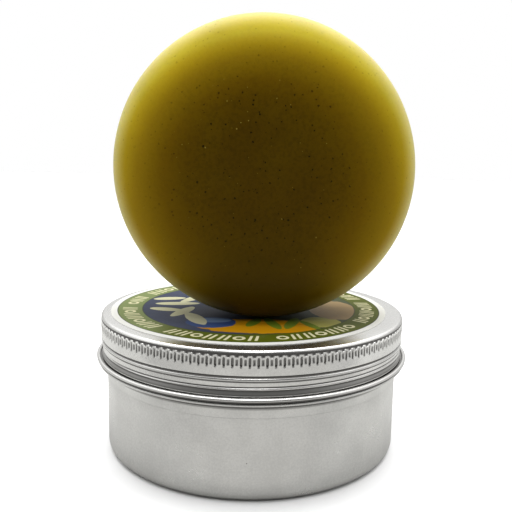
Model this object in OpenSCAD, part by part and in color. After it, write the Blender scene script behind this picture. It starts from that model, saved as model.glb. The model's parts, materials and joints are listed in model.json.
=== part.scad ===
// Round screw-top tin with its puck standing on edge on the closed lid.
// Millimetres, +Z up, origin at the middle of the tin's base, puck face towards -Y.

/* [Tin body] */
// Outside radius of the body wall
body_r = 32.8; // [32.7:0.05:32.9]
// Thickness of the body's drawn aluminium
body_wall = 0.4; // [0.3:0.05:0.45]
// Radius of the corner between the wall and the base
base_corner = 2; // [1:0.5:3]
// Height of the raised middle of the base above its standing ring
base_rise = 0.5; // [0.2:0.1:1]
// Width of the standing ring
ring_w = 1.4; // [1:0.2:3]
// Height of the shallow step around the upper wall
step_z = 17; // [15:0.5:18]
// Outside radius of the rolled flange under the lid
flange_r = 35.1; // [34.9:0.1:35.5]
// Height of the top of the rolled flange
flange_z = 21.6; // [21.4:0.1:21.7]

/* [Neck] */
// Outside radius of the threaded neck
neck_r = 32.6; // [32.5:0.05:32.65]
// Height of the lip above the base
lip_z = 28.9; // [28:0.1:28.9]
// Radius of the curled lip
lip_curl = 0.4; // [0.3:0.05:0.4]

/* [Screw thread] */
// Rise of the lid in one turn
pitch = 1; // [0.95:0.05:1.2]
// Number of turns of each rolled ridge
thread_turns = 1; // [0.75:0.25:1]
// Height of the middle of the lid's ridge where it starts
thread_z = 22.95; // [22.9:0.05:23]
// Radius of the tip of the neck's ridge
neck_tip_r = 33.15; // [33:0.05:33.15]
// Radius of the tip of the lid's inner ridge
lid_tip_r = 32.85; // [32.85:0.05:33]

/* [Lid] */
// Outside radius of the lid's plain band
lid_r = 34; // [33.9:0.05:34.1]
// Thickness of the lid's drawn aluminium
lid_wall = 0.35; // [0.3:0.05:0.35]
// Height of the lid's flat top above the base
lid_top = 30.4; // [30.4:0.1:31]
// Height of the lid's lower edge above the base
lid_edge = 21.5; // [21.4:0.05:21.5]
// Radius of the lid's shoulder
shoulder = 0.7; // [0.5:0.1:0.9]
// Number of pressed grip slots around the lid
slots = 134; // [60:2:160]
// Height of each grip slot
slot_h = 2.1; // [1.5:0.1:2.3]
// Depth of each grip slot
slot_d = 0.2; // [0.1:0.05:0.25]

/* [Liner] */
// Radius of the foam disc inside the lid
liner_r = 33.2; // [32.9:0.1:33.3]

/* [Label] */
// Radius of the round label
label_r = 31.25; // [28:0.25:31.5]
// Thickness of the label
label_t = 0.12; // [0.1:0.02:0.3]
// How far the label was stuck off centre, in X
label_x = -0.87; // [-1:0.01:1]
// How far the label was stuck off centre, in Y
label_y = 0.72; // [-1:0.01:1]

/* [Puck] */
// Radius of the puck
puck_r = 31.7; // [28:0.1:31.8]
// Thickness of the puck
puck_t = 26; // [20:0.5:28]
// Radius of the puck's rounded edges
puck_edge = 9; // [4:0.5:9.5]
// Distance of the puck's middle from the tin's axis, in X
puck_x = 2.1; // [-3:0.1:3]
// Distance of the puck's middle from the tin's axis, in Y
puck_y = -5; // [-8:0.5:8]

/* [Hidden] */
$fn = 128;

// Sheet metal
bare_metal = "#c2c1bc";
step_out = 0.12;            // how far the wall steps out above step_z
roll_r = 0.5;               // radius of the flange's main roll
shelf_drop = 0.4;           // how far the flange's inner part lies below the roll's top
fold_r = 0.28;              // radius of the thin fold under the roll
fold_in = 0.47;             // how far the fold stands back from the roll
fold_gap = 0.5;             // distance of the fold's middle below the roll
web_r = 34.1;               // radius of the wall between the roll and the fold
fold_z = flange_z - 2 * roll_r - fold_gap;
fillet_r = 1.4;             // radius of the hollow under the flange
seat_r = neck_r - body_wall;
bore_r = body_r - body_wall;

// Lid outline, from the top down
grip_top = lid_top - 1;     // top of the grip slots
neck_in = 0.25;             // radius of the small grooves rolled into the lid
waist_z = 25.38;            // groove under the plain band
bead_r = 0.55;              // radius of the bead under that groove
bead_z = waist_z - 0.72;
skirt_r = lid_r - 0.25;     // outside of the threaded skirt
hem_r = 0.15;               // radius of the folded lower edge
flare_out = 0.17;           // how far the lower edge flares out beyond the skirt
flare_h = 1.35;             // height of the flared part with its edge
waisting = 0.15;            // how far the skirt is drawn in at the top of the flare
waisting_h = 0.18;          // how far below the flare's top it is drawn in
waisting_bore = 0.1;        // how far the bore is drawn in there
skirt_bore = skirt_r - lid_wall;
lid_bore = lid_r - lid_wall;
slot_w = PI * lid_r / slots;    // half of the slots' spacing

// Thread ridges
root_h = 0.5;               // height of a ridge where it meets the wall
tip_h = 0.16;               // height of a ridge at its tip
sink = 0.15;                // how far a ridge is sunk into its wall
arc = 90;                   // degrees of the helix in one arc
lap = 0.5;                  // degrees by which arcs lap over each other
start_a = 205;              // direction in which the ridges start, in degrees from +X
groove_d = 0.18;            // depth of the channel rolled into the lid behind its inner ridge
groove_up = 0.1;            // how far the channel's middle lies above that ridge's

// Gaps between pieces that only touch
seal_gap = 0.05;
rest_gap = 0.05;

// A helical ridge that starts at height z and stands from radius root out or in to radius tip.
// Each arc of the helix is a ring's arc, tilted so that its two ends stand at the helix's heights.
module ridge(root, tip, z) {
    rise = pitch * arc / 360;
    tilt = atan(rise / (2 * root * sin(arc / 2)));
    for (i = [0 : round(360 * thread_turns / arc) - 1])
        translate([0, 0, z + rise * (i + 0.5)])
            rotate(start_a + arc * (i + 0.5))
                rotate([tilt, 0, 0])
                    rotate(-arc / 2 - lap)
                        rotate_extrude(angle = arc + 2 * lap)
                            polygon([[root, -root_h / 2], [tip, -tip_h / 2], [tip, tip_h / 2], [root, root_h / 2]]);
}

// Right half of the body's section, filled in
module body_outline() {
    square([body_r - base_corner, base_corner * 2]);
    translate([body_r - base_corner, base_corner]) circle(base_corner);
    translate([0, base_corner]) square([body_r, flange_z - roll_r - base_corner]);
    translate([0, step_z]) square([body_r + step_out, flange_z - roll_r - step_z]);
    difference() {
        translate([0, fold_z - fillet_r]) square([body_r + fillet_r, fillet_r]);
        translate([body_r + step_out + fillet_r, fold_z - fillet_r]) circle(fillet_r);
    }
    translate([0, fold_z - fold_r]) square([web_r, flange_z - fold_z + fold_r - roll_r]);
    translate([flange_r - fold_in - fold_r, fold_z]) circle(fold_r);
    translate([flange_r - roll_r, flange_z - roll_r]) circle(roll_r);
    translate([0, flange_z - roll_r]) square([flange_r - roll_r, roll_r - shelf_drop]);
    square([neck_r, lip_z - lip_curl]);
}

module tin_body() {
    color(bare_metal) {
        rotate_extrude() {
            difference() {
                body_outline();
                square([body_r - base_corner - ring_w, base_rise]);
                translate([0, base_rise + body_wall])
                    square([bore_r, flange_z - roll_r - base_rise - body_wall]);
                translate([0, base_rise + body_wall]) square([seat_r, lip_z]);
            }
            translate([neck_r + lip_curl / 4 - lip_curl, lip_z - lip_curl]) circle(lip_curl);
        }
        ridge(neck_r - sink, neck_tip_r, thread_z + pitch / 2);
    }
}

// Right half of the lid's section
module lid_outline() {
    difference() {
        union() {
            square([lid_r - shoulder, lid_top]);
            translate([lid_r - shoulder, lid_top - shoulder]) circle(shoulder);
            translate([0, waist_z]) square([lid_r, lid_top - shoulder - waist_z]);
            square([skirt_r, waist_z]);
            translate([lid_r - bead_r, bead_z]) circle(bead_r);
        }
        square([lid_r + 1, lid_edge + flare_h]);
        square([skirt_bore, bead_z + bead_r]);
        translate([0, bead_z + bead_r / 2]) square([lid_bore - neck_in, lid_top - lid_wall - bead_z - bead_r / 2]);
        translate([lid_r + neck_in / 2, grip_top + neck_in]) circle(neck_in);
        translate([lid_r + neck_in / 2, waist_z]) circle(neck_in);
    }
    translate([skirt_r + flare_out - hem_r, lid_edge + hem_r]) circle(hem_r);
    translate([0, lid_edge])
        polygon([
            [skirt_bore, flare_h], [skirt_r, flare_h], [skirt_r - waisting, flare_h - waisting_h],
            [skirt_r + flare_out, hem_r], [skirt_r + flare_out - 2 * hem_r, hem_r],
            [skirt_bore - waisting_bore, flare_h - waisting_h]
        ]);
}

module lid_shell() {
    color(bare_metal) {
        difference() {
            rotate_extrude() lid_outline();
            for (i = [0 : slots - 1])
                rotate(360 * i / slots)
                    translate([lid_r - slot_d, -slot_w / 2, grip_top - slot_h]) cube([1, slot_w, slot_h]);
            ridge(skirt_r + sink, skirt_r - groove_d, thread_z + groove_up);
        }
        ridge(skirt_bore + sink, lid_tip_r, thread_z);
    }
}

module lid_liner() {
    color("whitesmoke")
        translate([0, 0, lip_z + seal_gap])
            cylinder(r = liner_r, h = lid_top - lid_wall - lip_z - seal_gap);
}

module lid_label() {
    color("#5c6420")
        translate([label_x, label_y, lid_top]) cylinder(r = label_r, h = label_t);
}

module puck() {
    color("#8a7a14")
        translate([puck_x, puck_y, lid_top + label_t + rest_gap + puck_r])
            rotate([90, 0, 0])
                rotate_extrude() {
                    translate([0, -puck_t / 2]) square([puck_r - puck_edge, puck_t]);
                    translate([0, puck_edge - puck_t / 2]) square([puck_r, puck_t - 2 * puck_edge]);
                    for (side = [-1, 1])
                        translate([puck_r - puck_edge, side * (puck_t / 2 - puck_edge)]) circle(puck_edge);
                }
}

tin_body();
lid_shell();
lid_liner();
lid_label();
puck();
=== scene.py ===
"""Round puck of wax standing on its screw-top tin: the looks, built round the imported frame."""

import json
import logging
import math
from collections.abc import Callable
from dataclasses import dataclass, field
from enum import Enum
from typing import ClassVar

import bmesh
import bpy
import numpy as np
from bmesh.types import BMesh, BMVert
from bpy.types import Material, Mesh, Node, NodeSocket, NodeTree, Object
from mathutils import Matrix, Vector, noise

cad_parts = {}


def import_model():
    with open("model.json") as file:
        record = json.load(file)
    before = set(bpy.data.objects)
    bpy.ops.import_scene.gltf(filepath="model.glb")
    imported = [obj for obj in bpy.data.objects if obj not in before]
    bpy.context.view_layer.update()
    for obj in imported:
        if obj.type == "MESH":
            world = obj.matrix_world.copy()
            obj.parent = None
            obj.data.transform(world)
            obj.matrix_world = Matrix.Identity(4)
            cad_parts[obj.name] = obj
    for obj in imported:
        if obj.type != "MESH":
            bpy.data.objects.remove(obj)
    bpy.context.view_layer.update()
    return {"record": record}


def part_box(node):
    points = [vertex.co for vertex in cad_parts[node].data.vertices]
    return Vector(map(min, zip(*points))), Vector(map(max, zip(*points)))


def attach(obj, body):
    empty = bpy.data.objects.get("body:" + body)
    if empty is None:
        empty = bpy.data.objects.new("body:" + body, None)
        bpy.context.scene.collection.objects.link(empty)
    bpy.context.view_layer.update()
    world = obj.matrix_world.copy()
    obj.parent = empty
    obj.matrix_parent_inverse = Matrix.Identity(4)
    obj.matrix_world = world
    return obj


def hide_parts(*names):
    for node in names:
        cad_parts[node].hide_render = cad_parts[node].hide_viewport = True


LOG = logging.getLogger("puck_on_tin")
MM = 0.001
FULL_TURN = 2.0 * math.pi
MERGE = 0.000002

Colour = tuple[float, float, float]
Point = Vector | tuple[float, float, float]
Bend = tuple[float, float, float]
Around = Callable[[np.ndarray, float], np.ndarray]


# ---------------------------------------------------------------- node trees


class Wire:
    """An output in a node tree, with ordinary arithmetic."""

    def __init__(self, tree: NodeTree, plug: NodeSocket) -> None:
        """Wrap one output socket.

        Args:
            tree: The node tree that the socket is in.
            plug: The output socket.
        """
        self.tree = tree
        self.plug = plug

    def beside(self, name: str) -> "Wire":
        """Another output of the same node."""
        return Wire(self.tree, self.plug.node.outputs[name])

    def axes(self) -> list["Wire"]:
        """The X, Y and Z of a vector."""
        x = add_node(self.tree, "ShaderNodeSeparateXYZ", {"Vector": self})
        return [x, x.beside("Y"), x.beside("Z")]

    def math(self, operation: str, *others: "Wire | float", clamp: bool = False) -> "Wire":
        """Put a Math node after this value.

        Args:
            operation: The Math node's operation.
            others: The node's further inputs.
            clamp: Whether the result is kept from 0 to 1.

        Returns:
            The node's result.
        """
        node = self.tree.nodes.new("ShaderNodeMath")
        node.operation = operation
        node.use_clamp = clamp
        for socket, value in zip(node.inputs, (self, *others)):
            feed(socket, value)
        return Wire(self.tree, node.outputs[0])

    def __add__(self, other: "Wire | float") -> "Wire":
        """Sum."""
        return self.math("ADD", other)

    def __sub__(self, other: "Wire | float") -> "Wire":
        """Difference."""
        return self.math("SUBTRACT", other)

    def __mul__(self, other: "Wire | float") -> "Wire":
        """Product."""
        return self.math("MULTIPLY", other)

    def __truediv__(self, other: "Wire | float") -> "Wire":
        """Quotient."""
        return self.math("DIVIDE", other)

    def clear_of(self, other: "Wire | float") -> "Wire":
        """How far this value is from another."""
        return (self - other).math("ABSOLUTE")

    def smooth(self, start: float, end: float, low: float = 0.0, high: float = 1.0) -> "Wire":
        """Go smoothly from one value to another.

        Args:
            start: Where this value is at the step's start.
            end: Where it is at the step's end.
            low: The result up to the start.
            high: The result from the end on.

        Returns:
            The step's value.
        """
        ends = {"Value": self, "From Min": start, "From Max": end, "To Min": low, "To Max": high}
        return add_node(self.tree, "ShaderNodeMapRange", ends, interpolation_type="SMOOTHSTEP")


Value = Wire | float | Colour | Material


def feed(socket: NodeSocket, value: Value) -> None:
    """Set a socket, or link a wire to it.

    Args:
        socket: The input socket.
        value: A wire, or the socket's own value.
    """
    if isinstance(value, Wire):
        value.tree.links.new(value.plug, socket)
    elif isinstance(value, tuple) and socket.type == "RGBA":
        socket.default_value = (*value, 1.0)
    else:
        socket.default_value = value


def add_node(
    tree: NodeTree, kind: str, inputs: dict[str, Value], **settings: object
) -> Wire:
    """Add a node.

    Args:
        tree: The node tree.
        kind: The node's type.
        inputs: The input values by socket name.
        settings: The node's own properties.

    Returns:
        The node's first output.
    """
    node = tree.nodes.new(kind)
    for name, value in settings.items():
        setattr(node, name, value)
    for name, value in inputs.items():
        feed(node.inputs[name], value)
    return Wire(tree, node.outputs[0])


def mix_colour(tree: NodeTree, share: Wire | float, first: Value, second: Value) -> Wire:
    """Blend two colours.

    Args:
        tree: The node tree.
        share: The share of the second colour.
        first: The first colour.
        second: The second colour.

    Returns:
        The blended colour.
    """
    node = tree.nodes.new("ShaderNodeMix")
    node.data_type = "RGBA"
    for index, value in ((0, share), (6, first), (7, second)):
        feed(node.inputs[index], value)
    return Wire(tree, node.outputs[2])


def new_group(
    name: str, kind: str, inputs: dict[str, tuple[str, Value | None]], outputs: dict[str, str]
) -> tuple[NodeTree, dict[str, Wire], Node]:
    """Make an empty node group with named sockets.

    Args:
        name: The group's name.
        kind: ShaderNodeTree or GeometryNodeTree.
        inputs: The socket type without its prefix, and its default, by name.
        outputs: The socket type by name.

    Returns:
        The group, its inputs by name, and its output node.
    """
    group = bpy.data.node_groups.new(name, kind)
    sides = (("INPUT", inputs), ("OUTPUT", {label: (kind, None) for label, kind in outputs.items()}))
    for side, sockets in sides:
        for label, (socket_kind, default) in sockets.items():
            socket = group.interface.new_socket(
                name=label, in_out=side, socket_type="NodeSocket" + socket_kind
            )
            if default is not None:
                socket.default_value = default
    entry = group.nodes.new("NodeGroupInput")
    leave = group.nodes.new("NodeGroupOutput")
    return group, {label: Wire(group, entry.outputs[label]) for label in inputs}, leave


class Effects:
    """The shader node groups that several finishes share."""

    def __init__(self) -> None:
        """Build each group once."""
        self.grain = self._grain()
        self.flecks = self._flecks()

    def _grain(self) -> NodeTree:
        """Build the mottled grain: a fine noise and a broad one.

        Returns:
            The group.
        """
        group, wires, leave = new_group(
            "fine_grain",
            "ShaderNodeTree",
            {"Place": ("Vector", None), "Grains per mm": ("Float", 3.0), "Clouds per mm": ("Float", 0.1)},
            {"Grain": "Float", "Clouds": "Float"},
        )
        for label, scale, detail, rough in (
            ("Grain", "Grains per mm", 3.0, 0.6), ("Clouds", "Clouds per mm", 2.0, 0.5)
        ):
            values = {"Vector": wires["Place"], "Scale": wires[scale], "Detail": detail, "Roughness": rough}
            feed(leave.inputs[label], add_node(group, "ShaderNodeTexNoise", values))
        return group

    def _flecks(self) -> NodeTree:
        """Build sparse flecks: a share of a cell pattern's cells hold one each.

        Returns:
            The group.
        """
        group, wires, leave = new_group(
            "sparse_flecks",
            "ShaderNodeTree",
            {
                "Place": ("Vector", None),
                "Cells per mm": ("Float", 0.5),
                "Share of cells": ("Float", 0.1),
                "Size": ("Float", 0.1),
            },
            {"Flecks": "Float"},
        )
        place, cells_per_mm = wires["Place"], wires["Cells per mm"]
        finer = cells_per_mm / wires["Size"] * 0.5
        bent = add_node(group, "ShaderNodeTexNoise", {"Vector": place, "Scale": finer, "Detail": 1.0})
        cells = add_node(
            group, "ShaderNodeTexVoronoi", {"Vector": place, "Scale": cells_per_mm, "Randomness": 1.0}
        )
        chance = add_node(group, "ShaderNodeTexWhiteNoise", {"Vector": cells.beside("Position")})
        size = wires["Size"] * (chance * 2.0 + 0.5)
        distance = cells + (bent - 0.5) * size * 1.6
        near = (size - distance).math("DIVIDE", wires["Size"] * 0.5, clamp=True)
        feed(leave.inputs["Flecks"], near * chance.math("LESS_THAN", wires["Share of cells"]))
        return group


def new_material(name: str) -> tuple[Material, Node]:
    """Make a material with a Principled shader.

    Args:
        name: The material's name.

    Returns:
        The material and its shader.
    """
    material = bpy.data.materials.new(name)
    material.use_nodes = True
    tree = material.node_tree
    tree.nodes.clear()
    shader = tree.nodes.new("ShaderNodeBsdfPrincipled")
    leave = tree.nodes.new("ShaderNodeOutputMaterial")
    tree.links.new(shader.outputs[0], leave.inputs["Surface"])
    return material, shader


class Canvas:
    """A material that is being painted, with the shared grain already on it."""

    def __init__(self, name: str, centre: Point, effects: Effects, grains: float, clouds: float) -> None:
        """Start the material.

        Args:
            name: The material's name.
            centre: The point that its pattern is measured from, in metres.
            effects: The shared node groups.
            grains: How many fine grains there are in a millimetre.
            clouds: How many broad clouds there are in a millimetre.
        """
        self.effects = effects
        self.material, self.shader = new_material(name)
        self.tree = self.material.node_tree
        scale = 1.0 / MM
        mapping = {
            "Vector": add_node(self.tree, "ShaderNodeTexCoord", {}).beside("Object"),
            "Location": tuple(-c * scale for c in centre),
            "Scale": (scale, scale, scale),
        }
        self.place = add_node(self.tree, "ShaderNodeMapping", mapping)
        sizes = {"Grains per mm": grains, "Clouds per mm": clouds}
        self.grain, self.clouds = self.use(effects.grain, sizes)

    def use(self, group: NodeTree, sizes: dict[str, float]) -> list[Wire]:
        """Place a shared group.

        Args:
            group: The group.
            sizes: Its values by name.

        Returns:
            The group's outputs in order.
        """
        node = self.tree.nodes.new("ShaderNodeGroup")
        node.node_tree = group
        for name, value in {"Place": self.place, **sizes}.items():
            feed(node.inputs[name], value)
        return [Wire(self.tree, plug) for plug in node.outputs]

    def flecks(self, cells: float, share: float, size: float) -> Wire:
        """Scatter flecks.

        Args:
            cells: How many cells there are in a millimetre.
            share: The share of the cells that hold a fleck.
            size: A usual fleck's radius, as a share of a cell.

        Returns:
            Where a fleck is.
        """
        sizes = {"Cells per mm": cells, "Share of cells": share, "Size": size}
        return self.use(self.effects.flecks, sizes)[0]

    def mix(self, share: Wire | float, first: Value, second: Value) -> Wire:
        """Blend two colours by the share of the second."""
        return mix_colour(self.tree, share, first, second)

    def dress(self, values: dict[str, Value], height: Wire, distance_mm: float) -> None:
        """Give the shader its values, and the surface its relief.

        Args:
            values: The shader's values by socket name.
            height: The relief, from 0 to 1.
            distance_mm: How high 1 stands, in millimetres.
        """
        sizes = {"Strength": 1.0, "Distance": distance_mm * MM, "Height": height}
        relief = add_node(self.tree, "ShaderNodeBump", sizes)
        for name, value in {**values, "Normal": relief}.items():
            feed(self.shader.inputs[name], value)


# ---------------------------------------------------------------- finishes


@dataclass(frozen=True, kw_only=True)
class Finish:
    """What every finish has: a name, a centre and the sizes of its grain."""

    name: str
    centre: Point = (0.0, 0.0, 0.0)
    grains_per_mm: float
    clouds_per_mm: float

    def material(self, effects: Effects) -> Material:
        """Build the material.

        Args:
            effects: The shared node groups.

        Returns:
            The material.
        """
        canvas = Canvas(self.name, self.centre, effects, self.grains_per_mm, self.clouds_per_mm)
        self.paint(canvas)
        return canvas.material

    def paint(self, canvas: Canvas) -> None:
        """Paint the finish, each kind in its own way."""
        raise NotImplementedError


@dataclass(frozen=True, kw_only=True)
class SatinAluminium(Finish):
    """Drawn aluminium sheet with a fine matt grain, soft clouds and a few small dings, darkened by a value
    on the mesh: painted shade in the hollows and painted dark reflection on curves, with some tarnishing in
    the hollows.
    """

    grains_per_mm: float = 2.6
    clouds_per_mm: float = 0.12
    colour: Colour = (0.745, 0.74, 0.72)
    # Colour of the painted shade and painted dark reflection, with tarnishing, on the metal.
    tarnish_and_shade_colour: Colour = (0.07, 0.066, 0.062)
    ding_colour: Colour = (0.16, 0.155, 0.15)
    roughness: float = 0.3
    grain_mm: float = 0.006
    ding_cells_per_mm: float = 0.25
    ding_share: float = 0.35
    ding_size: float = 0.035

    def paint(self, canvas: Canvas) -> None:
        """Paint the sheet.

        Args:
            canvas: The started material.
        """
        grain, clouds = canvas.grain, canvas.clouds
        dings = canvas.flecks(self.ding_cells_per_mm, self.ding_share, self.ding_size)
        darker = tuple(0.86 * c for c in self.colour)
        mottled = canvas.mix((grain * 0.5 + clouds * 0.5).smooth(0.35, 0.65), self.colour, darker)
        worn = canvas.mix(dings, mottled, self.ding_colour)
        # Painted shade and painted dark reflection: the value stored on the mesh darkens and roughens the
        # metal.
        attribute = add_node(canvas.tree, "ShaderNodeAttribute", {}, attribute_name="tarnish_and_shade")
        tarnish_and_shade = attribute.beside("Fac")
        values = {
            "Base Color": canvas.mix(tarnish_and_shade, worn, self.tarnish_and_shade_colour),
            "Metallic": 1.0,
            "Roughness": clouds * 0.12 + grain * 0.08 + tarnish_and_shade * 0.2 + (self.roughness - 0.1),
        }
        canvas.dress(values, grain - dings, self.grain_mm)


@dataclass(frozen=True, kw_only=True)
class FoamDisc(Finish):
    """White closed-cell foam sheet."""

    name: str = "white_foam"
    grains_per_mm: float = 6.0
    clouds_per_mm: float = 0.2
    colour: Colour = (0.86, 0.86, 0.84)
    cells_per_mm: float = 1.8

    def paint(self, canvas: Canvas) -> None:
        """Paint the foam.

        Args:
            canvas: The started material.
        """
        pattern = {"Vector": canvas.place, "Scale": self.cells_per_mm}
        cells = add_node(canvas.tree, "ShaderNodeTexVoronoi", pattern, feature="SMOOTH_F1")
        shaded = tuple(0.84 * c for c in self.colour)
        values = {
            "Base Color": canvas.mix(cells * 0.8 + canvas.clouds * 0.2, self.colour, shaded),
            "Roughness": canvas.grain * 0.2 + 0.6,
        }
        canvas.dress(values, cells * -1.0, 0.12)


class Patch(Enum):
    """The printed areas of the label's picture, by their colour."""

    FIELD = (0.026, 0.034, 0.07)
    SHADE = (0.05, 0.062, 0.01)
    HAZE = (0.09, 0.105, 0.14)
    GROUND = (0.46, 0.215, 0.004)
    STRAW = (0.33, 0.31, 0.07)
    MEADOW = (0.12, 0.17, 0.012)
    POOL = (0.03, 0.06, 0.17)
    RIPPLE = (0.13, 0.2, 0.34)
    DISC = (0.30, 0.21, 0.10)
    PETAL = (0.52, 0.51, 0.33)


@dataclass(frozen=True)
class Blob:
    """A leaning ellipse of the picture: its colour, middle, half sizes and lean, in millimetres."""

    patch: Patch
    x: float
    y: float
    half_x: float
    half_y: float
    lean: float = 0.0


PICTURE = (
    Blob(Patch.GROUND, 2.0, -17.8, 12.5, 5.6),
    Blob(Patch.STRAW, 15.5, -13.8, 4.2, 4.2),
    Blob(Patch.DISC, 19.3, -2.5, 5.6, 9.0),
    Blob(Patch.POOL, -7.6, -15.4, 5.2, 4.4),
    Blob(Patch.RIPPLE, -7.4, -13.6, 3.9, 1.9),
    Blob(Patch.PETAL, -19.4, 6.6, 3.4, 1.7, 0.9),
    Blob(Patch.PETAL, -16.8, 1.4, 5.0, 1.6, 0.8),
    Blob(Patch.PETAL, -18.6, -4.4, 3.4, 1.7, -0.9),
    Blob(Patch.PETAL, -14.6, -6.2, 1.6, 4.6, 0.35),
    Blob(Patch.PETAL, -11.2, -12.4, 1.9, 5.0, -0.4),
    Blob(Patch.PETAL, -13.4, 7.5, 1.7, 4.6, 0.5),
    Blob(Patch.MEADOW, 1.2, -15.0, 1.3, 3.4, 0.3),
    Blob(Patch.MEADOW, 5.2, -15.6, 1.3, 4.4, -0.3),
    Blob(Patch.MEADOW, 9.2, -15.2, 1.3, 4.6, 0.25),
    Blob(Patch.MEADOW, 13.0, -16.4, 1.1, 3.4, -0.5),
)


@dataclass(frozen=True, kw_only=True)
class PrintedLabel(Finish):
    """Satin printed paper: a pale rim, a green ring of plain marks and a simple picture."""

    name: str = "printed_label"
    grains_per_mm: float = 5.0
    clouds_per_mm: float = 0.15
    paper: Colour = (0.7, 0.7, 0.67)
    band: Colour = (0.075, 0.09, 0.006)
    band_pale: Colour = (0.16, 0.2, 0.07)
    mark: Colour = (0.6, 0.57, 0.36)
    line: Colour = (0.02, 0.024, 0.012)
    print_radius: float = 29.8
    picture_radius: float = 24.3
    marks: int = 60

    def paint(self, canvas: Canvas) -> None:
        """Paint the print.

        Args:
            canvas: The started material.
        """
        x, y, _ = canvas.place.axes()
        radius = (x * x + y * y).math("SQRT")
        turn = y.math("ARCTAN2", x) / FULL_TURN + 0.5
        band = canvas.mix(x.smooth(-22.0, -14.0, 1.0, 0.0), self.band, self.band_pale)
        band = canvas.mix(self._marks(radius, turn), band, self.mark)
        inside = radius.smooth(self.picture_radius - 0.08, self.picture_radius + 0.08, 1.0, 0.0)
        printed = canvas.mix(inside, band, self._picture(canvas, x, y))
        edge = radius.smooth(self.print_radius - 0.08, self.print_radius + 0.08)
        rims = radius.clear_of(self.print_radius - 0.05).smooth(0.06, 0.16, 0.75, 0.0)
        rims = rims + radius.clear_of(self.picture_radius).smooth(0.08, 0.2, 0.6, 0.0)
        colour = canvas.mix(rims, canvas.mix(edge, printed, self.paper), self.line)
        rubbed = (canvas.grain * canvas.clouds).smooth(0.36, 0.6) * 0.25
        values = {
            "Base Color": canvas.mix(rubbed, colour, self.paper),
            "Roughness": canvas.grain * 0.15 + 0.28,
            "Specular IOR Level": 0.02,
        }
        canvas.dress(values, canvas.grain, 0.006)

    def _marks(self, radius: Wire, turn: Wire) -> Wire:
        """Draw plain bars and hoops round the band, with gaps between their groups.

        Args:
            radius: The distance from the label's centre, in millimetres.
            turn: The direction from the centre, from 0 to 1.

        Returns:
            Where a mark is printed.
        """
        middle = 0.5 * (self.print_radius + self.picture_radius)
        step = turn * float(self.marks)
        number = step.math("FLOOR")
        across = (step.math("FRACT") - 0.5) * (FULL_TURN * middle / self.marks)
        up = radius - middle
        leaning = (across + up * 0.18).clear_of(0.0)
        tall = up.clear_of(0.0).smooth(1.55, 1.7, 1.0, 0.0)
        bars = leaning.clear_of(0.62).smooth(0.24, 0.34, 1.0, 0.0) * tall
        hoop = (across * across + up * up).math("SQRT").clear_of(0.95).smooth(0.26, 0.36, 1.0, 0.0)
        third = (number / 3.0).math("FRACT").smooth(0.5, 0.6)
        eighth = (number / 8.0 + 0.06).math("FRACT").smooth(0.14, 0.16)
        return (bars * (third * -1.0 + 1.0) + hoop * third) * eighth

    def _picture(self, canvas: Canvas, x: Wire, y: Wire) -> Wire:
        """Paint the plain round shapes of the picture over each other.

        Args:
            canvas: The started material.
            x: The distance to the right of the label's centre, in millimetres.
            y: The distance behind it.

        Returns:
            The picture's colour.
        """
        pattern = {"Vector": canvas.place, "Scale": 0.35, "Detail": 2.0}
        ripple = add_node(canvas.tree, "ShaderNodeTexNoise", pattern)
        shift = (ripple - 0.5) * 0.25
        field_colour = canvas.mix(x.smooth(-3.0, 3.0), Patch.FIELD.value, Patch.SHADE.value)
        colour = canvas.mix(ripple * 0.3, field_colour, Patch.HAZE.value)
        for blob in PICTURE:
            up = y - blob.y
            across = (x - blob.x - up * blob.lean) / blob.half_x
            up = up / blob.half_y
            inside = ((across * across + up * up).math("SQRT") + shift).smooth(0.97, 1.03, 1.0, 0.0)
            colour = canvas.mix(inside, colour, blob.patch.value)
        return colour


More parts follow.
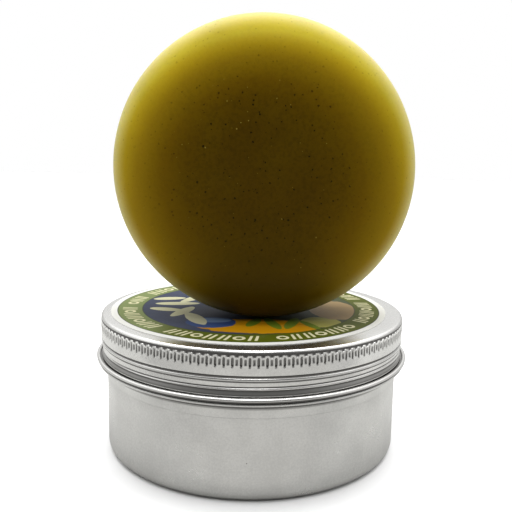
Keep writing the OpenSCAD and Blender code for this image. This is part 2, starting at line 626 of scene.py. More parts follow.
@dataclass(frozen=True, kw_only=True)
class TranslucentWax(Finish):
    """Deep olive wax whose thin rounded rim lets more light through than its middle, shown as a painted
    glow that brightens towards the rim and towards the top, with painted shade at its foot.
    """

    radius: float
    name: str = "translucent_wax"
    grains_per_mm: float = 1.6
    clouds_per_mm: float = 0.07
    roughness: float = 0.36
    scatter_mm: float = 5.0
    fleck: Colour = (0.016, 0.011, 0.0)
    fleck_sizes: tuple[float, float, float] = (1.0, 0.7, 0.13)
    speck: Colour = (0.36, 0.27, 0.05)
    speck_sizes: tuple[float, float, float] = (0.75, 0.5, 0.08)
    cloud: Colour = (0.16, 0.105, 0.001)
    # Painted rim glow, laid over the outermost edge.
    rim: Colour = (0.64, 0.58, 0.26)
    # Painted shade at the foot, where the puck stands on the lid.
    foot: Colour = (0.03, 0.018, 0.0)
    # Painted glow: colour by share of the radius, dark in the middle and light at the rim.
    painted_rim_glow_ramp: tuple[tuple[float, Colour], ...] = (
        (0.30, (0.088, 0.047, 0.0)),
        (0.50, (0.12, 0.066, 0.0)),
        (0.62, (0.18, 0.10, 0.001)),
        (0.72, (0.26, 0.16, 0.003)),
        (0.80, (0.34, 0.215, 0.006)),
        (0.88, (0.45, 0.31, 0.009)),
        (0.94, (0.52, 0.38, 0.014)),
        (1.00, (0.58, 0.47, 0.03)),
    )

    def paint(self, canvas: Canvas) -> None:
        """Paint the wax, from its deep middle to its thin rim.

        Args:
            canvas: The started material.
        """
        grain, clouds = canvas.grain, canvas.clouds
        x, _, z = canvas.place.axes()
        share = (x * x + z * z).math("SQRT") / self.radius
        up = z / self.radius
        # The share is stretched upwards, so the top is painted lighter than the bottom, as painted light
        # from above.
        depth = self._paint_rim_glow(canvas, share * (up * 0.22 + 1.0) + (clouds - 0.5) * 0.05)
        central = share.smooth(0.35, 0.85, 1.0, 0.2)
        # Painted shade: darker towards the bottom middle, where the puck stands on the lid.
        low = up.smooth(-0.95, -0.2, 0.9, 0.0) * (x / self.radius).clear_of(0.0).smooth(0.2, 0.75, 1.0, 0.0)
        colour = canvas.mix(clouds.smooth(0.35, 0.75) * 0.2, depth, self.cloud)
        # Painted rim glow on the outermost edge.
        colour = canvas.mix(share.smooth(0.87, 1.02, 0.0, 0.8), colour, self.rim)
        colour = canvas.mix(low, colour, self.foot)
        colour = canvas.mix(grain.smooth(0.4, 0.7) * central * 0.24, colour, self.fleck)
        colour = canvas.mix(canvas.flecks(*self.fleck_sizes) * central, colour, self.fleck)
        colour = canvas.mix(canvas.flecks(*self.speck_sizes) * central * 0.8, colour, self.speck)
        values = {
            "Base Color": colour,
            "Roughness": clouds * 0.14 + grain * 0.06 + (self.roughness - 0.1),
            "Subsurface Weight": 0.6,
            "Subsurface Radius": (1.0, 0.72, 0.12),
            "Subsurface Scale": self.scatter_mm * MM,
            "IOR": 1.44,
            "Specular IOR Level": 0.06,
        }
        canvas.dress(values, grain * 0.3 + clouds, 0.03)

    def _paint_rim_glow(self, canvas: Canvas, share: Wire) -> Wire:
        """Paint the rim glow: colour the wax by how near the rim a place is, dark in the middle and light
        at the rim.

        Args:
            canvas: The started material.
            share: The distance from the middle, as a share of the radius.

        Returns:
            The colour.
        """
        ramp = canvas.tree.nodes.new("ShaderNodeValToRGB")
        ramp.color_ramp.interpolation = "LINEAR"
        stops = ramp.color_ramp.elements
        for index, (position, colour) in enumerate(self.painted_rim_glow_ramp):
            stop = stops[index] if index < 2 else stops.new(position)
            stop.position = position
            stop.color = (*colour, 1.0)
        feed(ramp.inputs[0], share)
        return Wire(canvas.tree, ramp.outputs[0])


@dataclass(frozen=True)
class PaleFloor:
    """Plain pale paper under the object."""

    name: str = "pale_floor"
    colour: Colour = (0.95, 0.95, 0.95)
    reflected: Colour = (0.47, 0.47, 0.46)
    grains_per_m: float = 40.0

    def material(self) -> Material:
        """Build the material.

        Returns:
            The material.
        """
        material, shader = new_material(self.name)
        tree = material.node_tree
        place = add_node(tree, "ShaderNodeTexCoord", {}).beside("Object")
        grain = add_node(tree, "ShaderNodeTexNoise", {"Vector": place, "Scale": self.grains_per_m})
        paper = mix_colour(tree, grain, self.colour, tuple(0.985 * c for c in self.colour))
        seen = add_node(tree, "ShaderNodeLightPath", {}).beside("Is Camera Ray")
        feed(shader.inputs["Base Color"], mix_colour(tree, seen, self.reflected, paper))
        feed(shader.inputs["Roughness"], 0.8)
        feed(shader.inputs["Specular IOR Level"], 0.0)
        return material


# ---------------------------------------------------------------- turned meshes


@dataclass(frozen=True)
class Ring:
    """One ring of a turned outline, with its own angles if they aren't the usual ones."""

    radius: float
    height: float
    swell: Around | None = None
    tarnish_and_shade: float | Around = 0.0
    angles: np.ndarray | None = None

    def corners(self, mesh: BMesh, columns: int) -> list[BMVert]:
        """Add the ring's corners, from the back round through the front, whose angle is 0.

        Args:
            mesh: The mesh.
            columns: The usual number of corners.

        Returns:
            The corners.
        """
        layer = mesh.verts.layers.float["tarnish_and_shade"]
        angles = self.angles
        if angles is None:
            angles = -math.pi + FULL_TURN * np.arange(columns) / columns
        reach = np.full(len(angles), self.radius)
        if self.swell is not None:
            reach = reach + self.swell(angles, self.height)
        if callable(self.tarnish_and_shade):
            shade_share = self.tarnish_and_shade(angles, self.height)
        else:
            shade_share = np.full(len(angles), self.tarnish_and_shade)
        if self.radius == 0.0:
            angles, reach, shade_share = angles[:1], reach[:1], shade_share[:1]
        corners = []
        for angle, radius, value in zip(angles, reach, shade_share):
            place = (radius * math.sin(angle) * MM, -radius * math.cos(angle) * MM, self.height * MM)
            corners.append(mesh.verts.new(place))
            corners[-1][layer] = value
        return corners


def join_loops(mesh: BMesh, first: list[BMVert], second: list[BMVert]) -> None:
    """Join two rings with faces, one of which may have several times the other's corners.

    Args:
        mesh: The mesh.
        first: The first ring's corners.
        second: The second ring's corners.
    """
    coarse, fine = sorted((first, second), key=len)
    count, many = len(coarse), len(fine)
    if count == 1:
        for step in range(many):
            mesh.faces.new((coarse[0], fine[step], fine[(step + 1) % many]))
        return
    share = many // count
    for index in range(count):
        row = [fine[(index * share + step) % many] for step in range(share, -1, -1)]
        mesh.faces.new((coarse[index], coarse[(index + 1) % count], *row))


class Outline:
    """A turned piece's outline, drawn from ring to ring in millimetres.

    Everywhere, a value from 0 to 1 says how dark and rough the metal is: painted shade in the hollows and
    painted dark reflection on curves, with some tarnishing in the hollows.
    """

    def __init__(self) -> None:
        """Start an empty outline."""
        self.rings: list[Ring] = []

    def to(
        self, radius: float, height: float, tarnish_and_shade: float = 0.0, angles: np.ndarray | None = None
    ) -> "Outline":
        """Go straight to a point.

        Args:
            radius: The point's distance from the axis.
            height: Its height.
            tarnish_and_shade: Its painted shade, with tarnishing in the hollows.
            angles: The angles of its ring's corners, if they aren't the usual ones.

        Returns:
            The outline.
        """
        self.rings.append(Ring(radius, height, None, tarnish_and_shade, angles))
        return self

    def flat(self, height: float, *radii: float) -> "Outline":
        """Go along a flat face, from radius to radius.

        Args:
            height: The face's height.
            radii: The radii of its rings.

        Returns:
            The outline.
        """
        for radius in radii:
            self.to(radius, height)
        return self

    def arc(self, bend: Bend, start: float, end: float, pieces: int = 8, tarnish_and_shade: float = 0.0) -> "Outline":
        """Go round an arc.

        Args:
            bend: The arc's centre and radius.
            start: The angle where it starts, in degrees from outwards, upwards positive.
            end: The angle where it ends.
            pieces: How many straight pieces it has.
            tarnish_and_shade: Its painted shade, with tarnishing in the hollows.

        Returns:
            The outline.
        """
        radius, height, size = bend
        for step in range(pieces + 1):
            angle = math.radians(start + (end - start) * step / pieces)
            self.to(radius + size * math.cos(angle), height + size * math.sin(angle), tarnish_and_shade)
        return self

    def wall(
        self, radius: float, start: float, end: float, rows: int, swell: Around,
        tarnish_and_shade: float | Around = 0.0,
    ) -> "Outline":
        """Go along a straight wall whose surface is rolled into a shape.

        Args:
            radius: The wall's radius.
            start: The height where it starts.
            end: The height where it ends.
            rows: How many rows of faces it has.
            swell: How far the wall stands out, by angle and height.
            tarnish_and_shade: Its painted shade, with tarnishing in the hollows, as a number or by angle
                and height.

        Returns:
            The outline.
        """
        for step in range(rows + 1):
            self.rings.append(Ring(radius, start + (end - start) * step / rows, swell, tarnish_and_shade))
        return self

    def turn(self, columns: int, open_after: int | None = None) -> BMesh:
        """Turn the outline, whose ends are both on the axis, about Z.

        Args:
            columns: The usual number of corners in a ring.
            open_after: The ring after which the wall is left open.

        Returns:
            The mesh, in metres.
        """
        mesh = bmesh.new()
        mesh.verts.layers.float.new("tarnish_and_shade")
        loops = [ring.corners(mesh, columns) for ring in self.rings]
        for index, (lower, upper) in enumerate(zip(loops, loops[1:])):
            if index != open_after:
                join_loops(mesh, lower, upper)
        return mesh


def make_piece(
    name: str, mesh: BMesh, material: Material, sharp_deg: float = 40.0
) -> Object:
    """Make a smooth, dressed object of a mesh, with its faces outwards and its sharp edges kept.

    Args:
        name: The piece's name.
        mesh: The mesh, which is used up.
        material: The piece's material.
        sharp_deg: The least angle of an edge that stays sharp.

    Returns:
        The piece.
    """
    bmesh.ops.remove_doubles(mesh, verts=mesh.verts, dist=MERGE)
    bmesh.ops.recalc_face_normals(mesh, faces=mesh.faces)
    data = bpy.data.meshes.new(name)
    mesh.to_mesh(data)
    mesh.free()
    data.materials.append(material)
    for polygon in data.polygons:
        polygon.material_index = 0
    data.shade_smooth()
    data.set_sharp_from_angle(angle=math.radians(sharp_deg))
    piece = bpy.data.objects.new(name, data)
    bpy.context.scene.collection.objects.link(piece)
    return piece


@dataclass(frozen=True)
class RolledThread:
    """A helical ridge rolled into a sheet metal wall."""

    start_height: float
    depth: float
    pitch: float = 1.0
    turns: float = 1.0
    start_deg: float = 205.0
    width: float = 0.17
    fade_deg: float = 22.0

    def share(self, angles: np.ndarray, height: float) -> np.ndarray:
        """Say how near the ridge's crest a place on the wall is.

        Args:
            angles: The angles round the axis, 0 towards -Y.
            height: The height in millimetres.

        Returns:
            1 on the crest, 0 away from it.
        """
        around = np.mod(np.degrees(angles) - 90.0 - self.start_deg, 360.0)
        total = np.zeros(len(angles))
        last = 360.0 * self.turns
        for turn in range(math.ceil(self.turns) + 1):
            along = around + 360.0 * turn
            middle = self.start_height + self.pitch * along / 360.0
            fade = np.clip(np.minimum(along, last - along) / self.fade_deg, 0.0, 1.0)
            total += fade * np.exp(-(((height - middle) / self.width) ** 2))
        return total

    def swell(self, angles: np.ndarray, height: float) -> np.ndarray:
        """Say how far the ridge stands out of the wall, in millimetres."""
        return self.depth * self.share(angles, height)


# ---------------------------------------------------------------- sub-assemblies


@dataclass(frozen=True)
class Role:
    """A piece's name, CAD node, slot and body, and the least angle of an edge that stays sharp."""

    piece: str
    node: str
    slot: str
    body: str
    sharp_deg: float = 40.0


class TurnedPart:
    """A part whose shape is a section turned about its axis."""

    role: ClassVar[Role]
    columns: int

    def section(self) -> Outline:
        """Draw the section, from the axis round to the axis."""
        raise NotImplementedError

    def shape(self, material: Material) -> BMesh:
        """Turn the section; a part with more to its shape adds that here."""
        return self.section().turn(self.columns)

    def build(self, material: Material) -> Object:
        """Build and dress the part.

        Args:
            material: Its finish.

        Returns:
            The piece.
        """
        role = self.role
        piece = make_piece(role.piece, self.shape(material), material, role.sharp_deg)
        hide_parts(role.node)
        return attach(piece, role.body)


@dataclass
class TinBody(TurnedPart):
    """The drawn tin: standing ring, wall, rolled flange, threaded neck and curled lip."""

    role = Role("tin_body_sheet", "tin_body", "tin", "tin", sharp_deg=62.0)
    radius: float = 32.8
    bore: float = 32.4
    corner: float = 2.0
    ring_inner: float = 29.4
    rise: float = 0.5
    floor: float = 0.9
    step_height: float = 17.0
    step: float = 0.12
    fillet: float = 1.4
    fold: Bend = (34.35, 20.14, 0.3)
    web: float = 34.1
    roll: Bend = (34.6, 21.1, 0.5)
    shelf: float = 21.2
    neck: float = 32.6
    seat: float = 32.2
    lip: Bend = (32.3, 28.5, 0.4)
    under_lip: float = 26.5
    thread_low: float = 22.9
    thread_high: float = 25.0
    columns: int = 268
    thread: RolledThread = field(default_factory=lambda: RolledThread(start_height=23.45, depth=0.55))

    def outside(self, line: Outline) -> None:
        """Draw the section from the underside up to the flange's top.

        Args:
            line: The section.
        """
        bend = self.rise / 2.0
        line.flat(self.rise, 0.0, 14.0, 26.0)
        line.arc((self.ring_inner - 2.0 * bend, bend, bend), 90.0, 0.0, 5)
        line.arc((self.ring_inner, bend, bend), 180.0, 270.0, 5)
        line.arc((self.radius - self.corner, self.corner, self.corner), -90.0, 0.0, 12)
        for share in (0.2, 0.4, 0.6, 0.8):
            line.to(self.radius, self.corner + (self.step_height - self.corner) * share)
        outer = self.radius + self.step
        line.to(self.radius, self.step_height - 0.07)
        line.to(self.radius + 0.02, self.step_height - 0.03)
        line.to(outer - 0.02, self.step_height + 0.03).to(outer, self.step_height + 0.08)
        hollow = self.fold[1] - self.fillet - 0.04
        fillet = (outer + self.fillet, hollow, self.fillet)
        # Painted shade in the hollow under the fold, on the fold's underside and top and on the web up to
        # the roll, and painted dark reflection on the roll's lower half.
        line.to(outer, hollow - 0.25).to(outer, hollow - 0.05, 0.1)
        line.arc(fillet, 178.0, 170.0, 2, 0.5).arc(fillet, 167.0, 127.0, 9, 0.85)
        line.arc(self.fold, -90.0, -55.0, 3, 0.7).arc(self.fold, -45.0, 75.0, 8)
        line.arc(self.fold, 95.0, 152.0, 4, 0.8)
        line.to(self.web, self.roll[1] - self.roll[2] + 0.15, 0.9)
        line.arc(self.roll, -130.0, -10.0, 10, 0.9).arc(self.roll, 4.0, 168.0, 17)

    def neck_and_lip(self, line: Outline) -> None:
        """Draw the section from the flange's top over the lip and down to the bore.

        Args:
            line: The section.
        """
        # Painted shade on the shelf under the lid's edge.
        line.to(self.roll[0] - 0.6, self.shelf, 0.9).to(self.neck + 0.45, self.shelf, 0.9)
        line.arc((self.neck + 0.25, self.shelf + 0.25, 0.25), 250.0, 180.0, 4, 0.9)
        line.wall(self.neck, self.thread_low, self.thread_high, 26, self.thread.swell)
        line.to(self.neck, self.under_lip).arc(self.lip, -41.4, 255.5, 18).to(self.seat, self.under_lip)
        line.wall(self.seat, self.thread_high, self.thread_low, 22, self._trace)
        line.to(self.seat, self.roll[1] + 0.45).to(self.seat + 0.02, self.roll[1] + 0.2)
        line.to(self.bore - 0.03, self.roll[1] - 0.1).to(self.bore, self.roll[1] - 0.4)

    def _trace(self, angles: np.ndarray, height: float) -> np.ndarray:
        """Give the faint hollow that the rolled ridge leaves in the bore."""
        return self.thread.swell(angles, height) * 0.3

    def inside(self, line: Outline) -> None:
        """Draw the section from the bore down to the middle of the inside floor.

        Args:
            line: The section.
        """
        bend = self.rise / 2.0
        dip = self.floor - self.rise
        line.to(self.bore, 14.0).to(self.bore, 8.0)
        line.arc((self.radius - self.corner, self.corner, self.corner - dip), 0.0, -90.0, 12)
        line.arc((self.ring_inner, dip + bend, bend), 270.0, 180.0, 5)
        line.arc((self.ring_inner - 2.0 * bend, dip + bend, bend), 0.0, 90.0, 5)
        line.flat(self.floor, 26.0, 14.0, 0.0)

    def section(self) -> Outline:
        """Draw the whole section.

        Returns:
            The section.
        """
        line = Outline()
        self.outside(line)
        self.neck_and_lip(line)
        self.inside(line)
        return line


@dataclass(frozen=True)
class Slot:
    """A pressed slot with round ends: its middle, its two ends and half its width."""

    across: float
    low: float
    high: float
    half: float
    depth: float

    def outside_by(self, u: float, v: float) -> float:
        """Say how far a place is outside the slot's edge, less than 0 inside it.

        Args:
            u: The place's distance round the rim.
            v: Its height.

        Returns:
            The distance in millimetres.
        """
        nearest = min(max(v, self.low + self.half), self.high - self.half)
        return math.hypot(u - self.across, v - nearest) - self.half


@dataclass
class GripRing:
    """The ring of pressed grip slots: tall ones under small arches, short ones between."""

    radius: float = 34.0
    low: float = 26.95
    high: float = 29.56
    top_relief: float = -0.108
    count: int = 134
    bar: float = 0.34
    crest: float = 0.04
    notch_from: float = 29.0
    half: float = field(init=False)
    tall: Slot = field(init=False)
    short: Slot = field(init=False)

    def __post_init__(self) -> None:
        """Work out half the distance between two tall slots, and set a short one in between."""
        self.half = 0.5 * FULL_TURN * self.radius / self.count
        self.tall = Slot(0.0, 27.14, 29.08, 0.25, 0.2)
        self.short = Slot(self.half, 27.58, 28.78, 0.28, 0.13)

    @property
    def columns(self) -> list[float]:
        """Places of the corners from a tall slot's middle to a short slot's."""
        return [0.0, 0.14, 0.25, 0.36, 0.47, 0.6, self.half]

    def rows(self, u: float) -> list[float]:
        """Give the heights of one column's corners, which follow the arch over the tall slot.

        Args:
            u: The distance round the rim from the tall slot's middle.

        Returns:
            The heights.
        """
        tall = self.tall
        spring = tall.high - tall.half
        inner = spring + math.sqrt(max(0.0, tall.half**2 - u * u)) + (0.03 if u > tall.half else 0.0)
        outer = spring + math.sqrt(max(0.0, (tall.half + self.bar) ** 2 - u * u))
        crest = max(self.notch_from, outer)
        return [
            self.low, 27.13, 27.24, 27.42, 27.57, 27.7, 28.3, 28.55,
            inner - 0.09, inner, 0.5 * (inner + crest), crest, crest + 0.07, self.high,
        ]

    def loop_angles(self) -> np.ndarray:
        """Give the angles of the corners round the band's edges.

        Returns:
            The angles in radians, from the back round through the front.
        """
        there = np.array(self.columns[:-1])
        back = self.half - np.array(self.columns[:0:-1])
        period = np.concatenate([there, self.half + back])
        starts = 2.0 * self.half * np.arange(self.count)
        return -math.pi + (starts[:, None] + period[None, :]).ravel() / self.radius

    def relief(self, u: float, v: float) -> tuple[float, float]:
        """Say how far the rim stands out at a place, and how much painted shade it has there.

        Args:
            u: The distance round the rim from the tall slot's middle.
            v: The height.

        Returns:
            The relief in millimetres, and the painted shade from 0 to 1.
        """
        # Painted shade and painted dark reflection on the band above the slots.
        if v >= self.high:
            return self.top_relief, 0.9
        from_tall = self.tall.outside_by(u, v)
        from_short = self.short.outside_by(u, v)
        for slot, distance in ((self.tall, from_tall), (self.short, from_short)):
            if distance < -0.001:
                share = min(1.0, -distance / 0.1)
                # Painted shade in the slots, darkest at their lower ends.
                lower = 1.0 if v < slot.low + 0.5 else 0.8
                return -slot.depth * share, share * lower
        # Painted shade and painted dark reflection in the notches over the arches.
        if v > self.notch_from and from_tall > self.bar:
            share = min(1.0, (from_tall - self.bar) / 0.07)
            return self.top_relief * share, 0.9 * share
        near = min(from_tall, from_short)
        if v > 27.3 and near < self.bar:
            return self.crest, 0.0
        return 0.0, 0.0

    def motif(self) -> Object:
        """Draw one flat period: X across, Y up, Z out, in millimetres.

        Returns:
            The motif.
        """
        mesh = bmesh.new()
        layer = mesh.verts.layers.float.new("tarnish_and_shade")
        across = [-u for u in self.columns[:0:-1]] + self.columns
        grid = {}
        for i, u in enumerate(across):
            for j, v in enumerate(self.rows(abs(u))):
                out, shade_share = self.relief(abs(u), v)
                grid[i, j] = mesh.verts.new((u, v, out))
                grid[i, j][layer] = shade_share
        for i in range(len(across) - 1):
            for j in range(len(self.rows(0.0)) - 1):
                mesh.faces.new((grid[i, j], grid[i + 1, j], grid[i + 1, j + 1], grid[i, j + 1]))
        data = bpy.data.meshes.new("grip_motif")
        mesh.to_mesh(data)
        mesh.free()
        motif = bpy.data.objects.new("grip_motif", data)
        bpy.context.scene.collection.objects.link(motif)
        return motif

    def tree(self) -> NodeTree:
        """Build the node tree that repeats the motif in a row and bends the row into a ring.

        Returns:
            The tree.
        """
        tree, wires, leave = new_group(
            "pressed_grip_ring",
            "GeometryNodeTree",
            {
                "Geometry": ("Geometry", None),
                "Count": ("Int", 100),
                "Period": ("Float", 1.6),
                "Radius": ("Float", 34.0),
                "Scale": ("Float", MM),
                "Material": ("Material", None),
            },
            {"Geometry": "Geometry"},
        )
        offset = add_node(tree, "ShaderNodeCombineXYZ", {"X": wires["Period"]})
        row = {"Count": wires["Count"], "Offset": offset}
        line = add_node(tree, "GeometryNodeMeshLine", row, mode="OFFSET")
        spread = {"Points": line, "Instance": wires["Geometry"]}
        copies = add_node(tree, "GeometryNodeInstanceOnPoints", spread)
        real = add_node(tree, "GeometryNodeRealizeInstances", {"Geometry": copies})
        across, height, out = add_node(tree, "GeometryNodeInputPosition", {}).axes()
        turn = across / wires["Radius"]
        reach = (out + wires["Radius"]) * wires["Scale"]
        place = {
            "X": turn.math("SINE") * reach,
            "Y": turn.math("COSINE") * reach * -1.0,
            "Z": height * wires["Scale"],
        }
        bent = add_node(tree, "ShaderNodeCombineXYZ", place)
        moved = add_node(tree, "GeometryNodeSetPosition", {"Geometry": real, "Position": bent})
        merged = add_node(tree, "GeometryNodeMergeByDistance", {"Geometry": moved, "Distance": MERGE})
        dressed = {"Geometry": merged, "Material": wires["Material"]}
        feed(leave.inputs["Geometry"], add_node(tree, "GeometryNodeSetMaterial", dressed))
        return tree

    def build(self, material: Material) -> Mesh:
        """Repeat the motif round the lid.

        Args:
            material: The lid's finish.

        Returns:
            The band's mesh, open above and below.
        """
        motif = self.motif()
        modifier = motif.modifiers.new("repeat", "NODES")
        modifier.node_group = self.tree()
        values = {
            "Count": self.count,
            "Period": 2.0 * self.half,
            "Radius": self.radius,
            "Scale": MM,
            "Material": material,
        }
        for item in modifier.node_group.interface.items_tree:
            if item.in_out == "INPUT" and item.name in values:
                modifier[item.identifier] = values[item.name]
        bpy.context.view_layer.update()
        evaluated = motif.evaluated_get(bpy.context.evaluated_depsgraph_get())
        band = bpy.data.meshes.new_from_object(evaluated)
        motif.modifiers.remove(modifier)
        bpy.data.objects.remove(motif)
        return band


@dataclass
class ScrewLid(TurnedPart):
    """The pressed lid: flat top, shoulder, grip ring, bead, rolled thread and hemmed edge."""

    role = Role("lid_shell_sheet", "lid_shell", "lid", "lid", sharp_deg=62.0)
    radius: float = 34.0
    top: float = 30.4
    wall: float = 0.35
    bore: float = 33.4
    shoulder: float = 0.7
    groove: float = 0.25
    waist: float = 25.38
    bead: float = 0.55
    bead_height: float = 24.66
    skirt: float = 33.75
    edge: float = 21.5
    hem: float = 0.15
    flare: float = 0.17
    flare_top: float = 22.85
    thread_high: float = 24.18
    inner_high: float = 24.5
    pressed: tuple[float, float] = (27.4, 28.9)
    columns: int = 268
    grip: GripRing = field(default_factory=GripRing)
    outer_thread: RolledThread = field(
        default_factory=lambda: RolledThread(start_height=23.05, depth=-0.18, width=0.16)
    )
    inner_thread: RolledThread = field(
        default_factory=lambda: RolledThread(start_height=22.95, depth=-0.55)
    )

    def upper(self, line: Outline) -> None:
        """Draw the section from the top's middle over the shoulder to the grip ring.

        Args:
            line: The section.
        """
        line.flat(self.top, 0.0, 10.0, 20.0, 28.0, 31.5)
        line.arc((self.radius - self.shoulder, self.top - self.shoulder, self.shoulder), 90.0, 12.5, 10)
        # Painted shade and painted dark reflection in the groove above the grip ring.
        line.arc((self.radius + 0.125, self.grip.high + 0.09, self.groove), 130.0, 190.0, 4, 0.9)
        line.to(self.radius + self.grip.top_relief, self.grip.high, 0.9, self.grip.loop_angles())

    def skirting(self, line: Outline) -> None:
        """Draw the section from under the grip ring round the bead and thread to the hem.

        Args:
            line: The section.
        """
        line.to(self.radius, self.grip.low, 0.0, self.grip.loop_angles())
        for height in (26.6, 26.0, self.waist + 0.24):
            line.to(self.radius, height)
        # Painted shade in the waist groove.
        line.arc((self.radius + 0.125, self.waist, self.groove), 135.0, 180.0, 5, 0.95)
        line.to(self.skirt + 0.03, self.waist - 0.05, 1.0)
        bead = (self.radius - self.bead, self.bead_height, self.bead)
        # Painted dark reflection on the bead above and below its bright middle.
        line.arc(bead, 56.9, 45.0, 3, 0.55).arc(bead, 37.0, 2.0, 5).arc(bead, -14.0, -56.9, 6, 0.8)
        foot = self.flare_top + 0.06
        # Painted shade in the rolled channel along the thread.
        line.wall(self.skirt, self.thread_high, foot, 26, self.outer_thread.swell, self._channel_shade)
        # Painted shade and painted dark reflection on the strip from the thread down round the hem.
        for out, down, tarnish_and_shade in (
            (0.0, 0.0, 0.3), (-0.15, 0.18, 1.0), (-0.12, 0.27, 0.85), (-0.03, 0.5, 0.55), (0.07, 0.8, 0.6)
        ):
            line.to(self.skirt + out, self.flare_top - down, tarnish_and_shade)
        line.to(self.skirt + 0.12, self.edge + self.hem + 0.16, 0.85)
        hem = (self.skirt + self.flare - self.hem, self.edge + self.hem, self.hem)
        line.arc(hem, 25.0, -40.0, 5).arc(hem, -60.0, -150.0, 6, 0.8)

    def lining(self, line: Outline) -> None:
        """Draw the section from the hem up the inside to the middle of the top.

        Args:
            line: The section.
        """
        line.to(self.bore - 0.1, self.flare_top - 0.18)
        line.wall(self.bore, self.flare_top - 0.1, self.inner_high, 22, self.inner_thread.swell)
        for height in (25.2, 26.9, 27.2):
            line.to(self.bore, height)
        line.wall(self.bore, *self.pressed, 2, self._pressed_through)
        line.arc((self.bore - 0.4, self.top - self.wall - 0.4, 0.4), 0.0, 90.0, 6)
        line.flat(self.top - self.wall, 28.0, 20.0, 10.0, 0.0)

    def _channel_shade(self, angles: np.ndarray, height: float) -> np.ndarray:
        """Give the painted shade on the rolled channel's upper half."""
        return np.clip(self.outer_thread.share(angles, height - 0.06) * 1.1, 0.0, 1.0)

    def _pressed_through(self, angles: np.ndarray, height: float) -> np.ndarray:
        """Give the bumps that the grip slots press into the inside."""
        return np.where(np.arange(len(angles)) % 2 == 0, -0.12, -0.03)

    def shape(self, material: Material) -> BMesh:
        """Turn the section and set the grip ring into the gap that it leaves.

        Args:
            material: The lid's finish.

        Returns:
            The mesh.
        """
        line = Outline()
        self.upper(line)
        gap = len(line.rings) - 1
        self.skirting(line)
        self.lining(line)
        mesh = line.turn(self.columns, gap)
        mesh.from_mesh(self.grip.build(material))
        return mesh


@dataclass
class FoamLiner(TurnedPart):
    """The foam disc in the lid, with the ring that the tin's lip has pressed into it."""

    role = Role("lid_liner_foam", "lid_liner", "foam", "liner")
    radius: float = 33.2
    low: float = 28.95
    high: float = 30.05
    edge: float = 0.25
    lip_radius: float = 32.3
    dent: float = 0.1
    columns: int = 192

    def section(self) -> Outline:
        """Draw the section, from below.

        Returns:
            The section.
        """
        line = Outline().flat(self.low, 0.0, 12.0, 24.0, 30.5, self.lip_radius - 0.6)
        for offset, share in ((-0.4, 0.7), (-0.2, 1.0), (0.2, 1.0), (0.4, 0.7)):
            line.to(self.lip_radius + offset, self.low + self.dent * share)
        corner = self.radius - self.edge
        line.arc((corner, self.low + self.edge, self.edge), -90.0, 0.0, 5)
        line.arc((corner, self.high - self.edge, self.edge), 0.0, 90.0, 5)
        return line.flat(self.high, 24.0, 12.0, 0.0)


@dataclass
class LidLabel(TurnedPart):
    """The round label stuck on the lid's top."""

    role = Role("lid_label_disc", "lid_label", "label", "lid")
    centre: Vector
    radius: float
    low: float
    high: float
    edge: float = 0.05
    columns: int = 256

    def section(self) -> Outline:
        """Draw the section, from below.

        Returns:
            The section.
        """
        line = Outline().flat(self.low, 0.0, 15.0, self.radius - 1.0, self.radius)
        line.to(self.radius, self.high - self.edge)
        line.arc((self.radius - self.edge, self.high - self.edge, self.edge), 30.0, 90.0, 3)
        return line.flat(self.high, self.radius - 1.0, 15.0, 0.0)

    def shape(self, material: Material) -> BMesh:
        """Turn the section and move it to the label's place on the lid.

        Args:
            material: The label's finish; not used.

        Returns:
            The mesh.
        """
        mesh = self.section().turn(self.columns)
        bmesh.ops.translate(mesh, verts=mesh.verts, vec=(self.centre.x, self.centre.y, 0.0))
        return mesh


@dataclass
class WaxPuck(TurnedPart):
    """The thick moulded puck, standing on its edge."""

    role = Role("wax_puck_solid", "puck", "wax", "puck")
    centre: Vector
    radius: float
    half: float
    shoulder_across: float = 11.0
    shoulder_deep: float = 9.8
    roundness: float = 2.3
    crown: float = 0.2
    unevenness: float = 0.12
    columns: int = 192
    rows: int = 20

    def section(self) -> Outline:
        """Draw the section, from the front face's middle round to the back's.

        Returns:
            The section.
        """
        flat = self.radius - self.shoulder_across
        face = self.half - self.crown
        half = []
        for share in (0.0, 0.2, 0.4, 0.6, 0.8):
            half.append((flat * share, face + self.crown * (1.0 - share * share)))
        for step in range(self.rows + 1):
            angle = 0.5 * math.pi * step / self.rows
            across = self.shoulder_across * math.sin(angle) ** (2.0 / self.roundness)
            deep = self.shoulder_deep * math.cos(angle) ** (2.0 / self.roundness)
            half.append((flat + across, face - self.shoulder_deep + deep))
        line = Outline()
        for radius, deep in half + [(radius, -deep) for radius, deep in half[::-1]]:
            line.to(radius, deep)
        return line

    def shape(self, material: Material) -> BMesh:
        """Turn the section, make the surface a little uneven and stand it up.

        Args:
            material: The puck's finish; not used.

        Returns:
            The mesh.
        """
        mesh = self.section().turn(self.columns)
        bmesh.ops.remove_doubles(mesh, verts=mesh.verts, dist=MERGE)
        bmesh.ops.recalc_face_normals(mesh, faces=mesh.faces)
        mesh.normal_update()
        for corner in mesh.verts:
            sway = noise.noise(corner.co * 45.0) * 0.8 + noise.noise(corner.co * 170.0) * 0.2
            corner.co -= corner.normal * (self.unevenness * MM * (0.5 + 0.5 * sway))
        turn = Matrix.Translation(self.centre) @ Matrix.Rotation(math.radians(90.0), 4, "X")
        bmesh.ops.transform(mesh, matrix=turn, verts=mesh.verts)
        return mesh


# ---------------------------------------------------------------- studio


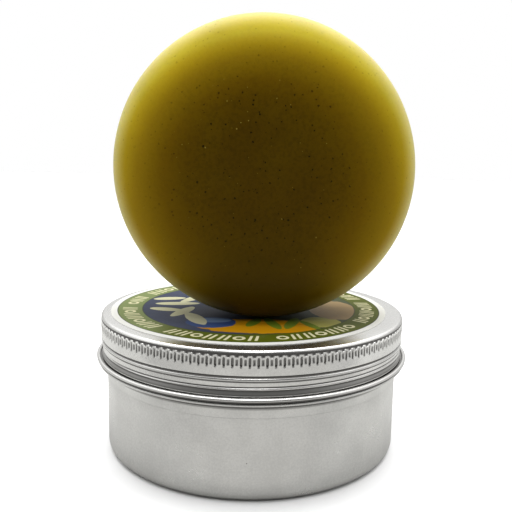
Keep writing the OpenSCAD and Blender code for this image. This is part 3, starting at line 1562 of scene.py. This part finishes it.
@dataclass
class Studio:
    """A pale floor, a soft pale room and large soft lamps."""

    above: Colour = (1.45, 1.45, 1.45)
    around: Colour = (0.6, 0.6, 0.59)
    front_low: Colour = (0.7, 0.695, 0.675)
    front_high: Colour = (0.1, 0.1, 0.1)
    backdrop: Colour = (1.0, 1.0, 1.0)
    floor_front: float = -0.038
    floor_half: float = 0.9

    def floor(self, material: Material) -> None:
        """Lay the floor.

        Args:
            material: Its finish.
        """
        mesh = bmesh.new()
        bmesh.ops.create_grid(mesh, x_segments=24, y_segments=24, size=self.floor_half)
        bmesh.ops.translate(mesh, verts=mesh.verts, vec=(0.0, self.floor_front + self.floor_half, 0.0))
        piece = make_piece("floor", mesh, material)

    def room_light(self) -> None:
        """Make the room: white above, pale around and darker in front."""
        world = bpy.data.worlds.new("studio")
        world.use_nodes = True
        tree = world.node_tree
        tree.nodes.clear()
        _, ahead, up = add_node(tree, "ShaderNodeTexCoord", {}).beside("Generated").axes()
        front = mix_colour(tree, up.smooth(-0.15, 0.2), self.front_low, self.front_high)
        room = mix_colour(tree, up.smooth(0.1, 0.6), self.around, self.above)
        lit = mix_colour(tree, ahead.smooth(-0.8, -0.1, 1.0, 0.0), room, front)
        seen = add_node(tree, "ShaderNodeLightPath", {}).beside("Is Camera Ray")
        colour = mix_colour(tree, seen, lit, self.backdrop)
        shine = add_node(tree, "ShaderNodeBackground", {"Color": colour, "Strength": 1.0})
        leave = tree.nodes.new("ShaderNodeOutputWorld")
        feed(leave.inputs["Surface"], shine)
        bpy.context.scene.world = world

    def lamp(self, name: str, place: Vector, aim: Vector, size: tuple[float, float], power: float) -> None:
        """Hang a soft rectangular lamp.

        Args:
            name: The lamp's name.
            place: Where it hangs.
            aim: The point that it faces.
            size: Its width and height in metres.
            power: Its power in watts.
        """
        data = bpy.data.lights.new(name, "AREA")
        data.shape = "RECTANGLE"
        data.size, data.size_y = size
        data.energy = power
        lamp = bpy.data.objects.new(name, data)
        turn = (aim - place).to_track_quat("-Z", "Y").to_matrix().to_4x4()
        lamp.matrix_world = Matrix.Translation(place) @ turn
        bpy.context.scene.collection.objects.link(lamp)

    def camera(self) -> None:
        """Stand the camera in front, a little above the lid."""
        place = Vector((1.667, -148.6, 65.7)) * MM
        yaw, pitch, roll = 0.017, 0.155, 0.020
        level = math.cos(pitch)
        ahead = Vector((math.sin(yaw) * level, math.cos(yaw) * level, -math.sin(pitch)))
        right = ahead.cross(Vector((0.0, 0.0, 1.0))).normalized()
        up = right.cross(ahead)
        x_axis = right * math.cos(roll) + up * math.sin(roll)
        y_axis = up * math.cos(roll) - right * math.sin(roll)
        turn = Matrix((x_axis, y_axis, -ahead)).transposed().to_4x4()
        data = bpy.data.cameras.new("camera")
        data.sensor_width = 36.0
        data.lens = 46.25
        data.shift_x = -0.0314
        data.clip_start = 0.005
        data.clip_end = 20.0
        camera = bpy.data.objects.new("camera", data)
        camera.matrix_world = Matrix.Translation(place) @ turn
        bpy.context.scene.collection.objects.link(camera)
        bpy.context.scene.camera = camera

    def build(self) -> None:
        """Set up the whole studio."""
        self.floor(PaleFloor().material())
        self.room_light()
        middle = Vector((0.0, 0.0, 0.05))
        self.lamp("top_lamp", Vector((0.0, 0.12, 0.62)), middle, (0.7, 0.5), 4.0)
        self.lamp("front_lamp", Vector((0.0, -0.42, 0.6)), middle, (0.3, 0.16), 0.6)
        self.camera()
        bpy.context.scene.view_settings.view_transform = "Standard"


def box_middle(node: str) -> tuple[Vector, Vector]:
    """Give the middle of a CAD node and half its size.

    Args:
        node: The node's name.

    Returns:
        The middle and the half size, in metres.
    """
    low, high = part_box(node)
    return (low + high) / 2.0, (high - low) / 2.0


def main() -> None:
    """Build each sub-assembly in order, then the studio."""
    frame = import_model()
    slots = [entry["slot"] for entry in frame["record"]["materials"]]
    LOG.info("material slots: %s", ", ".join(slots))
    effects = Effects()
    stuck, disc = box_middle("lid_label")
    stands, round_half = box_middle("puck")
    label = LidLabel(stuck, disc.x / MM, (stuck.z - disc.z) / MM, (stuck.z + disc.z) / MM)
    lid_finish = SatinAluminium(
        name="satin_aluminium_lid", colour=(0.8, 0.795, 0.775), roughness=0.26,
        grain_mm=0.003, ding_share=0.2,
    )
    for part, finish in (
        (TinBody(), SatinAluminium(name="satin_aluminium_tin")),
        (ScrewLid(), lid_finish),
        (FoamLiner(), FoamDisc()),
        (label, PrintedLabel(centre=stuck)),
        (
            WaxPuck(stands, round_half.x / MM, round_half.y / MM),
            TranslucentWax(centre=stands, radius=round_half.x / MM),
        ),
    ):
        piece = part.build(finish.material(effects))
        LOG.info("%s: %d faces", piece.name, len(piece.data.polygons))
    Studio().build()


if __name__ == "__main__":
    logging.basicConfig(level=logging.INFO, format="%(name)s: %(message)s")
    main()
